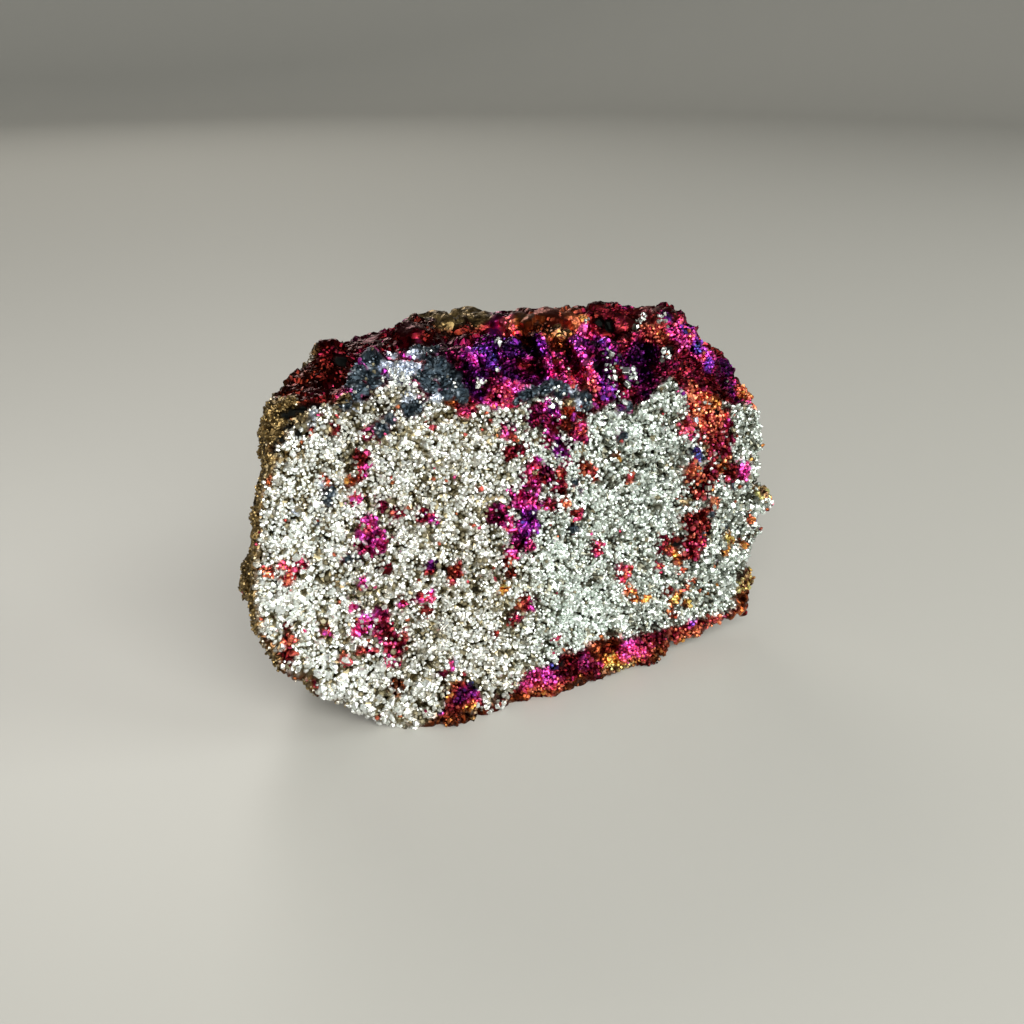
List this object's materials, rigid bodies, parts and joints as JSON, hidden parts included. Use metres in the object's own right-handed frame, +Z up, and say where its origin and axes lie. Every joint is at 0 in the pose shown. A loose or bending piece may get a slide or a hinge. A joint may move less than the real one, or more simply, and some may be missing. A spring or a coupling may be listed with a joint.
{
  "type": "peacock ore",
  "caption": "Broken lump of copper ore, flat and granular on its broad side, with a ridged tarnished shoulder; rests on a flat break.",
  "frame": {"origin": "on the resting face, under the middle of the lump's box", "axes": "+X along the broad side, -Y out of the broad side, +Z up"},
  "size_m": [0.0512, 0.0302, 0.033],
  "materials": {
    "ore": "glittering metallic grains with iridescent tarnish"
  },
  "bodies": {
    "root": {"peacock_ore": "ore"}
  },
  "joints": []
}
